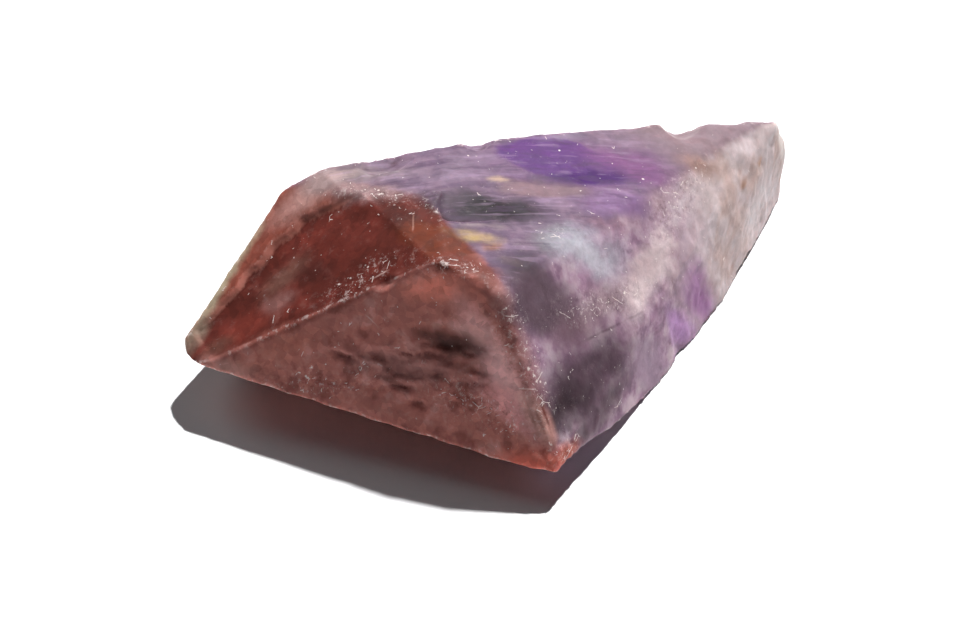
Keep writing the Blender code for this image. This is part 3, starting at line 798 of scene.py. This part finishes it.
def pushedPlaces(places, sizes):
    # each place pushed about by noises of these sizes and strengths, so that patches have ragged rims
    pushes = []
    for size, strength in sizes:
        pushes.append([noise.noise_vector(Vector(place) / size) * strength for place in places])
    return places + np.array(pushes).sum(0)


def nearPatch(places, start, end, radius, softness):
    # 1 inside a long round patch, 0 outside it, blurred by the softness at its rim
    start, end = np.array(start), np.array(end)
    along = (end - start) / np.linalg.norm(end - start)
    offset = places - (start + end) / 2
    forward = offset @ along
    across = np.linalg.norm(offset - forward[:, None] * along, axis=1)
    reach = np.linalg.norm(end - start) / 2 + radius
    return smoothRamp(np.hypot(forward / reach, across / radius), 1 + softness / 2, 1 - softness)


def paintPatches(piece, shift):
    # the patches of colour and the crowds of flaws are painted on the vertices
    look = quartzLook
    noise.seed_set(look["pushSeed"])
    places = placesOf(piece) - np.array(shift) / mm
    broad, narrow = pushedPlaces(places, look["broadPush"]), pushedPlaces(places, look["narrowPush"])
    paintLayer = np.zeros((len(places), 4))
    for start, end, radius, softness, colour, strength in look["patches"].values():
        pushed = broad if radius > look["broadRadius"] else narrow
        mask = nearPatch(pushed, start, end, radius, softness)[:, None] * strength
        paintLayer = paintLayer * (1 - mask) + np.array(linear(colour)) * mask
    paintLayer[:, :3] /= np.maximum(paintLayer[:, 3:], 0.001)
    piece.data.attributes.new("patches", "FLOAT_COLOR", "POINT").data.foreach_set("color", paintLayer.ravel())
    crowd = [nearPatch(broad, *zone, look["crowdSoftness"]) for zone in look["flawZones"]]
    keepAttribute(piece, "crowd", np.max(crowd, axis=0))


paintPatches(crystalPiece, crystalShift)
print("quartz: patches painted")

quartz = bpy.data.materials.new("violet quartz")
quartz.use_nodes = True


def node(kind, **settings):
    made = quartz.node_tree.nodes.new("ShaderNode" + kind)
    for setting, value in settings.items():
        setattr(made, setting, value)
    return made


def feed(socket, value):
    # another node's output is linked, a number or colour is set
    if isinstance(value, bpy.types.NodeSocket):
        quartz.node_tree.links.new(value, socket)
    elif hasattr(socket.default_value, "__len__") and not hasattr(value, "__len__"):
        socket.default_value = [value] * len(socket.default_value)
    else:
        socket.default_value = value


def calc(operation, *values):
    made = node("Math", operation=operation)
    for socket, value in zip(made.inputs, values):
        feed(socket, value)
    return made.outputs[0]


def vectorCalc(operation, *values):
    made = node("VectorMath", operation=operation)
    for socket, value in zip(made.inputs, values):
        feed(socket, value)
    return made.outputs["Value" if operation in ("LENGTH", "DISTANCE", "DOT_PRODUCT") else "Vector"]


def noiseAt(place, size, detail=3, roughness=0.5, distortion=0, output="Fac"):
    made = node("TexNoise")
    feed(made.inputs["Vector"], place)
    feed(made.inputs["Scale"], 1 / size)
    feed(made.inputs["Detail"], detail)
    feed(made.inputs["Roughness"], roughness)
    feed(made.inputs["Distortion"], distortion)
    return made.outputs[output]


def step(value, low, high, top=1, bottom=0):
    # bottom at low, top at high, smooth between them
    made = node("MapRange", interpolation_type="SMOOTHSTEP")
    feed(made.inputs["Value"], value)
    feed(made.inputs["From Min"], low)
    feed(made.inputs["From Max"], high)
    feed(made.inputs["To Min"], bottom)
    feed(made.inputs["To Max"], top)
    return made.outputs["Result"]


def tint(below, above, mask, kind="MIX"):
    made = node("Mix", data_type="RGBA", blend_type=kind)
    feed(made.inputs[0], mask)
    feed(made.inputs[6], linear(below) if isinstance(below, tuple) else below)
    feed(made.inputs[7], linear(above) if isinstance(above, tuple) else above)
    return made.outputs[2]


def stretched(place, middle, along, sizes):
    # the place seen from a middle, turned to a direction and divided by the sizes
    made = node("Mapping", vector_type="TEXTURE")
    feed(made.inputs["Vector"], place)
    made.inputs["Location"].default_value = middle
    made.inputs["Rotation"].default_value = Vector(along).to_track_quat("X", "Z").to_euler()
    made.inputs["Scale"].default_value = sizes
    return made.outputs["Vector"]


def patchMask(place, start, end, radius, softness, strength=1):
    start, end = Vector(start), Vector(end)
    sizes = ((end - start).length / 2 + radius, radius, radius)
    distance = vectorCalc("LENGTH", stretched(place, (start + end) / 2, end - start, sizes))
    return step(distance, 1 + softness / 2, 1 - softness, strength)


def cellPattern(place, size, feature="F1"):
    cells = node("TexVoronoi", feature=feature)
    feed(cells.inputs["Vector"], place)
    feed(cells.inputs["Scale"], 1 / size)
    return cells


def cellPicks(cells):
    # two random numbers, each the same all over a cell
    picked = node("SeparateXYZ")
    feed(picked.inputs[0], cells.outputs["Color"])
    return picked.outputs[0], picked.outputs[1]


def splinterMask(place, along, length, width, share):
    # a few of the cells of a stretched pattern, each of a size of its own
    cells = cellPattern(stretched(place, (0, 0, 0), along, (length, width, width)), 1)
    pick, sizePick = cellPicks(cells)
    smallest, largest = quartzLook["splinterReach"]
    reach = calc("MULTIPLY_ADD", sizePick, largest - smallest, smallest)
    shape = step(cells.outputs["Distance"], reach, quartzLook["splinterCore"])
    return calc("MULTIPLY", step(pick, 1 - share, 1), shape)


def hairlineMask(place, crowd, size, width, start):
    # short stretches of the edges of a cell pattern, more of them where the flaws crowd
    look = quartzLook
    distance = cellPattern(place, size, "DISTANCE_TO_EDGE").outputs["Distance"]
    cellsLong, detail, roughness = look["hairlineNoise"]
    pattern = noiseAt(place, size * cellsLong, detail, roughness)
    stretches = calc("MULTIPLY_ADD", crowd, look["hairlineCrowd"], pattern)
    shown = step(stretches, start, start + look["hairlineBlur"])
    return calc("MULTIPLY", step(distance, width / size, 0), shown)


def speckMask(place, crowd, size, share):
    # tiny dots in some cells of a cell pattern
    cells = cellPattern(place, size)
    shown = calc("GREATER_THAN", calc("MULTIPLY_ADD", crowd, share, cellPicks(cells)[0]), 1)
    return calc("MULTIPLY", shown, step(cells.outputs["Distance"], *quartzLook["speckBlur"]))


def sparkleMask(place, points, blur):
    nearest = vectorCalc("DISTANCE", place, points[0])
    for point in points[1:]:
        nearest = calc("MINIMUM", nearest, vectorCalc("DISTANCE", place, point))
    return step(nearest, *blur)


def faceMask(place, name, start, full):
    # 0 from a depth below a named flat face on, 1 from a smaller depth up
    points = [corner(key) / mm for key in crystal["faces"][name]]
    normal = facing(name)
    height = calc("SUBTRACT", vectorCalc("DOT_PRODUCT", place, tuple(normal)), points[0].dot(normal))
    return step(height, -start, -full)


def attribute(name):
    return node("Attribute", attribute_name=name).outputs["Fac"]


def shade(below, name, pattern, within=None, kind="MIX"):
    # the named tint over the colour below, where the pattern is in its range
    colour, start, full, strength = quartzLook["tints"][name]
    mask = step(pattern, start, full, strength)
    if within is not None:
        mask = calc("MULTIPLY", mask, within)
    return tint(below, colour, mask, kind)


def pushNoise(place, settings):
    return vectorCalc("SUBTRACT", noiseAt(place, *settings, 0, "Color"), (0.5, 0.5, 0.5))


def pushedBy(place, *pushes):
    # the place moved about by noises, each with its strength
    for push, strength in pushes:
        place = vectorCalc("MULTIPLY_ADD", push, (strength, strength, strength), place)
    return place


def readPlaces(shift):
    # what the patterns read: the place in the crystal's own millimetres, the same place pushed about so that
    # borders are ragged, and the noises that they share
    look = quartzLook
    mapping = node("Mapping")
    feed(mapping.inputs["Vector"], node("TexCoord").outputs["Object"])
    mapping.inputs["Scale"].default_value = (1 / mm, 1 / mm, 1 / mm)
    mapping.inputs["Location"].default_value = -shift / mm
    place = mapping.outputs["Vector"]
    broadPush, finePush = pushNoise(place, look["broadPushNoise"]), pushNoise(place, look["finePushNoise"])
    broad, medium = noiseAt(place, *look["broadNoise"]), noiseAt(place, *look["mediumNoise"])
    share = look["cloudShare"]
    return {
        "place": place,
        "tail": pushedBy(place, (broadPush, look["tailPush"][0]), (finePush, look["tailPush"][1])),
        "cap": pushedBy(place, (finePush, look["capPush"][1]), (broadPush, look["capPush"][0])),
        "line": pushedBy(place, (finePush, look["linePush"])),
        "broad": broad,
        "medium": medium,
        "fine": noiseAt(place, *look["fineNoise"]),
        "cloud": calc("MULTIPLY_ADD", medium, share, calc("MULTIPLY", broad, 1 - share)),
    }


def streaksAt(place, middle, along, sizes):
    return noiseAt(stretched(place, middle, along, sizes), *quartzLook["streakNoise"])


def bodyColour(at, tailMask, tailStreaks):
    # smoky violet beside the cap, pale and streaked towards the tail; what looks up or back takes the top's
    # colours, darkened as painted shade where the key light falls strongest
    look = quartzLook
    body = shade(look["bodyColour"], "body pale", at["cloud"])
    body = shade(body, "body dark", at["medium"])
    top = shade(look["topShadedColour"], "top pale", at["cloud"])
    fray = calc("SUBTRACT", at["medium"], 0.5)
    onTop = step(calc("MULTIPLY_ADD", fray, look["topFray"], attribute("upward")), *look["topTurn"])
    body = tint(body, top, onTop)
    tail = shade(look["tailColour"], "tail warm", at["broad"])
    tail = shade(tail, "tail pale", tailStreaks)
    tail = tint(tail, look["tailTopShade"], calc("MULTIPLY", onTop, look["tailTopShare"]))
    return tint(body, tail, tailMask)


def ridgeSide():
    # the direction across the tip's ridge, halfway between its two faces, towards the lower one
    return tuple((facing("lower tip face") - facing("upper tip face")).normalized())


def capColour(at):
    # dark red above the tip's ridge, dusty red below it, the ledge raised over it, and its riser painted pale
    # as painted light
    look = quartzLook
    upper = shade(look["capColour"], "cap dark", at["broad"])
    upper = shade(upper, "cap red", at["cloud"])
    upper = shade(upper, "cap haze", at["medium"])
    lower = shade(look["lowerCapColour"], "lower dark", at["cloud"])
    lower = shade(lower, "lower haze", at["medium"])
    fromRidge = vectorCalc("SUBTRACT", at["line"], tuple(corner("ridge start") / mm))
    cap = tint(upper, lower, step(vectorCalc("DOT_PRODUCT", fromRidge, ridgeSide()), *look["ridgeBlur"]))
    fray = calc("SUBTRACT", at["medium"], 0.5)
    ledge = calc("MULTIPLY_ADD", fray, look["ledgeFray"], attribute("ledgeSide"))
    pastLedge = step(ledge, *look["ledgeBlur"])
    onUpper = faceMask(at["place"], "upper tip face", *look["ledgeDepth"])
    cap = tint(cap, look["raisedColour"], calc("MULTIPLY", pastLedge, onUpper))
    return tint(cap, look["riserHighlight"], calc("MULTIPLY", attribute("riser"), look["riserHighlightShare"]))


def capMask(at):
    # 1 on the cap: short of its end along the crystal and of its border across it
    look = quartzLook
    side = calc("SUBTRACT", vectorCalc("DOT_PRODUCT", at["cap"], look["capSide"]), look["capSideEnd"])
    end = calc("SUBTRACT", vectorCalc("DOT_PRODUCT", at["cap"], (1, 0, 0)), look["capEnd"])
    return step(calc("MAXIMUM", side, end), look["capBlur"], -look["capBlur"])


def paintedOver(colour, at):
    # the patches from the vertices, their rims made ragged by the fine noise, and then the lines
    look = quartzLook
    painted = node("Attribute", attribute_name="patches")
    cover = painted.outputs["Alpha"]
    rim = calc("MULTIPLY", cover, calc("SUBTRACT", 1, cover))
    ragged = calc("MULTIPLY", calc("SUBTRACT", at["fine"], 0.5), rim)
    colour = tint(colour, painted.outputs["Color"], calc("MULTIPLY_ADD", ragged, look["patchFray"], cover))
    for start, end, width, lineColour, strength in look["lines"].values():
        mask = patchMask(at["line"], start, end, width, look["lineSoftness"], strength)
        colour = tint(colour, lineColour, mask)
    return colour


def streakedTop(colour, at, onCap, tailMask):
    # light and dark streaks along the violet top, between the cap and the tail
    look = quartzLook
    streaks = streaksAt(at["place"], *look["topStreaks"])
    streaked = shade(shade(colour, "pale streak", streaks), "dark streak", streaks)
    onTop = step(attribute("upward"), *look["streakTurn"])
    onTop = calc("MULTIPLY", onTop, step(onCap, *look["streakCapEnd"]))
    return tint(colour, streaked, calc("MULTIPLY", onTop, step(tailMask, *look["streakTailEnd"])))


def mottled(colour, at, onCap):
    # soft mottling, angular grains that are strongest on the cap, and a thin milky veil
    look = quartzLook
    low, high = look["mottling"]
    soft = step(at["medium"], *look["mediumMottling"], high, low)
    soft = calc("MULTIPLY", soft, step(at["fine"], *look["fineMottling"], high, low))
    pick = cellPicks(cellPattern(at["line"], look["grainSize"]))[0]
    spread = calc("MULTIPLY_ADD", onCap, look["capGrains"] - look["bodyGrains"], look["bodyGrains"])
    tone = calc("MULTIPLY_ADD", calc("SUBTRACT", pick, 0.5), spread, 1)
    made = node("HueSaturation")
    feed(made.inputs["Value"], calc("MULTIPLY", soft, tone))
    feed(made.inputs["Color"], colour)
    return shade(made.outputs[0], "veil", noiseAt(at["cap"], *look["veilNoise"]))


def flawAndGlintMask(at):
    # the pale flaws: specks, splinters, hairlines, chipped edges and worn rims, and sparkles, which are
    # painted glints
    look = quartzLook
    place, line = at["place"], at["line"]
    crowd = calc("MAXIMUM", step(at["broad"], *look["thinCrowd"]), attribute("crowd"))
    flawsAndGlints = speckMask(place, crowd, look["speckSize"], look["specks"])
    for splinter in look["splinters"]:
        flawsAndGlints = calc("MAXIMUM", flawsAndGlints, splinterMask(line, *splinter))
    flawsAndGlints = calc("MULTIPLY", flawsAndGlints, crowd)
    for hairline in look["hairlines"]:
        flawsAndGlints = calc("MAXIMUM", flawsAndGlints, hairlineMask(line, crowd, *hairline))
    flawsAndGlints = calc("MAXIMUM", flawsAndGlints, sparkleMask(line, look["sparkles"], look["sparkleBlur"]))
    dashes = step(noiseAt(place, *look["dashNoise"]), *look["dashes"])
    for start, end, width, strength in look["chippedEdges"]:
        edge = patchMask(line, corner(start) / mm, corner(end) / mm, width, look["lineSoftness"], strength)
        flawsAndGlints = calc("MAXIMUM", flawsAndGlints, calc("MULTIPLY", edge, dashes))
    worn = calc("MULTIPLY", step(attribute("rim"), *look["wornRims"]), dashes)
    return calc("MAXIMUM", flawsAndGlints, worn)


def flawed(colour, at, flawsAndGlints):
    # fine pale chips, and dark chips as painted shade, where the flaws crowd, then the flaws and painted
    # glints, and painted shade in cracks and creases
    crowd = attribute("crowd")
    chips = noiseAt(at["line"], *quartzLook["chipNoise"])
    colour = shade(colour, "pale chip", chips, crowd)
    colour = shade(colour, "chip shade", chips, crowd, "MULTIPLY")
    colour = tint(colour, quartzLook["white"], flawsAndGlints)
    return shade(colour, "crack", attribute("rim"), None, "MULTIPLY")


def surfaceBump(at, flawsAndGlints, tailMask, tailStreaks):
    look = quartzLook
    heights = look["bumps"]
    height = calc("MULTIPLY", at["fine"], heights["fine"])
    height = calc("MULTIPLY_ADD", at["medium"], heights["medium"], height)
    height = calc("MULTIPLY_ADD", noiseAt(at["place"], *look["finestNoise"]), heights["finest"], height)
    height = calc("MULTIPLY_ADD", flawsAndGlints, heights["flawsAndGlints"], height)
    height = calc("MULTIPLY_ADD", calc("MULTIPLY", tailStreaks, tailMask), heights["tail streaks"], height)
    low, high = look["bumpStrength"]
    bump = node("Bump")
    feed(bump.inputs["Height"], height)
    feed(bump.inputs["Distance"], mm)
    feed(bump.inputs["Strength"], step(tailMask, 0, 1, low, high))
    return bump.outputs["Normal"]


def quartzMaterial(shift):
    look = quartzLook
    at = readPlaces(shift)
    tailMask = step(vectorCalc("DOT_PRODUCT", at["tail"], (1, 0, 0)), *look["tailStart"])
    tailStreaks = streaksAt(at["place"], *look["tailStreaks"])
    onCap = capMask(at)
    print("quartz: places ready")

    colour = tint(bodyColour(at, tailMask, tailStreaks), capColour(at), onCap)
    colour = paintedOver(colour, at)
    colour = streakedTop(colour, at, onCap, tailMask)
    colour = mottled(colour, at, onCap)
    flawsAndGlints = flawAndGlintMask(at)
    colour = flawed(colour, at, flawsAndGlints)
    print("quartz: colours and flaws laid")

    surface = quartz.node_tree.nodes["Principled BSDF"]
    low, high = look["roughness"]
    rough = calc("MULTIPLY_ADD", at["medium"], high - low, low)
    feed(surface.inputs["Base Color"], colour)
    feed(surface.inputs["Roughness"], calc("MULTIPLY_ADD", flawsAndGlints, -look["flawGloss"], rough))
    feed(surface.inputs["Normal"], surfaceBump(at, flawsAndGlints, tailMask, tailStreaks))
    surface.inputs["IOR"].default_value = look["ior"]
    surface.inputs["Specular IOR Level"].default_value = look["specular"]
    surface.inputs["Subsurface Weight"].default_value = look["subsurface"]
    surface.inputs["Subsurface Radius"].default_value = look["subsurfaceRadius"]
    surface.inputs["Subsurface Scale"].default_value = look["subsurfaceScale"]


quartzMaterial(crystalShift)
crystalPiece.data.materials.clear()
crystalPiece.data.materials.append(quartz)
print("crystal finished")

studio = {
    "floorSize": 4.0,
    "floorColour": (0.86, 0.86, 0.87, 1),
    "floorRoughness": 0.9,
    # a small key light from the back right, a soft fill from the back left: direction, distance, size, power
    "key": ((0.405, 0.286, 0.868), 1.2, 0.05, 27.0),
    "fill": ((-0.3, 0.7, 0.6), 1.2, 0.7, 2.2),
    "skyColour": (0.84, 0.95, 1.15, 1),
    "skyStrength": 0.03,
}


def addLight(name, direction, distance, size, power):
    # a round soft light that faces the origin
    towards = Vector(direction).normalized()
    bpy.ops.object.light_add(type="AREA", location=towards * distance)
    light = bpy.context.object
    light.name = name
    light.rotation_euler = towards.to_track_quat("Z", "Y").to_euler()
    light.data.shape = "DISK"
    light.data.size = size
    light.data.energy = power
    return light


def makeStudio():
    bpy.ops.object.select_all(action="DESELECT")
    bpy.ops.mesh.primitive_plane_add(size=studio["floorSize"])
    floor = bpy.context.object
    floor.name = "floor"
    pale = bpy.data.materials.new("pale floor")
    pale.use_nodes = True
    surface = pale.node_tree.nodes["Principled BSDF"]
    surface.inputs["Base Color"].default_value = studio["floorColour"]
    surface.inputs["Roughness"].default_value = studio["floorRoughness"]
    floor.data.materials.append(pale)
    addLight("key light", *studio["key"])
    fill = addLight("fill light", *studio["fill"])
    fill.visible_glossy = False
    world = bpy.data.worlds.new("soft room")
    world.use_nodes = True
    background = world.node_tree.nodes["Background"]
    background.inputs["Color"].default_value = studio["skyColour"]
    background.inputs["Strength"].default_value = studio["skyStrength"]
    bpy.context.scene.world = world
    bpy.context.scene.view_settings.view_transform = "Standard"


photoCamera = {
    "target": (-0.0099, -0.0038, 0.0072),
    "azimuth": -31.0,
    "elevation": 38.0,
    "distance": 0.27,
    "lens": 100.0,
    "sensor": 36.0,
    "nearest": 0.01,
}


def makeCamera():
    azimuth, elevation = math.radians(photoCamera["azimuth"]), math.radians(photoCamera["elevation"])
    level = math.cos(elevation)
    back = Vector((math.sin(azimuth) * level, -math.cos(azimuth) * level, math.sin(elevation)))
    bpy.ops.object.camera_add(location=Vector(photoCamera["target"]) + back * photoCamera["distance"])
    camera = bpy.context.object
    camera.rotation_euler = back.to_track_quat("Z", "Y").to_euler()
    camera.data.lens = photoCamera["lens"]
    camera.data.sensor_width = photoCamera["sensor"]
    camera.data.clip_start = photoCamera["nearest"]
    bpy.context.scene.camera = camera


makeStudio()
makeCamera()
print("studio and camera ready")
